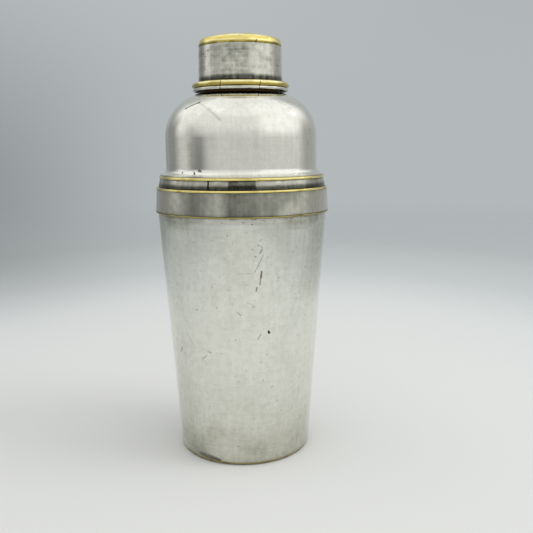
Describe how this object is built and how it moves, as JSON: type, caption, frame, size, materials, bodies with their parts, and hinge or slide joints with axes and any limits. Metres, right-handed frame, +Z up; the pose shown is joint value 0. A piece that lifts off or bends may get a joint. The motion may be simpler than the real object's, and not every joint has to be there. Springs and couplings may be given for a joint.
{
  "type": "cocktail shaker",
  "caption": "Cocktail shaker: tapered beaker with a flared collar, lift-off domed shoulder that holds a strainer and pouring neck, and a lift-off cap with a domed crown.",
  "frame": {"origin": "centre of the foot ring on the table", "axes": "+Z up along the shaker's axis; the shaker is round, so +X and +Y are free, and the picture looks roughly along +Y"},
  "size_m": [0.0794, 0.0794, 0.1903],
  "materials": {
    "silver_plate": "silver plated, polished and worn",
    "gilt": "gilt, polished",
    "worn_gilt": "gilt, worn dull",
    "tarnished_plate": "silver plated, tarnished brown",
    "cork": "matte cork"
  },
  "bodies": {
    "beaker": {"beaker_wall": "silver_plate", "base_disc": "silver_plate", "foot_ring": "worn_gilt", "collar_band": "silver_plate", "collar_top_wire": "gilt", "collar_bottom_wire": "worn_gilt"},
    "shoulder": {"shoulder_dome": "silver_plate", "shoulder_foot_band": "silver_plate", "shoulder_wire": "gilt", "mouth_sleeve": "silver_plate", "neck_tube": "tarnished_plate", "neck_lip": "silver_plate", "strainer": "silver_plate"},
    "cap": {"cap_wall": "silver_plate", "cap_gilt_bead": "gilt", "cap_rim_bead": "silver_plate", "cap_crown": "gilt", "cork_seal": "cork"}
  },
  "joints": [
    {"name": "shoulder_lift", "type": "slide", "parent": "beaker", "child": "shoulder", "axis": [0, 0, 1], "range_m": [0, 0.1]},
    {"name": "cap_lift", "type": "slide", "parent": "shoulder", "child": "cap", "axis": [0, 0, 1], "range_m": [0, 0.05]}
  ]
}
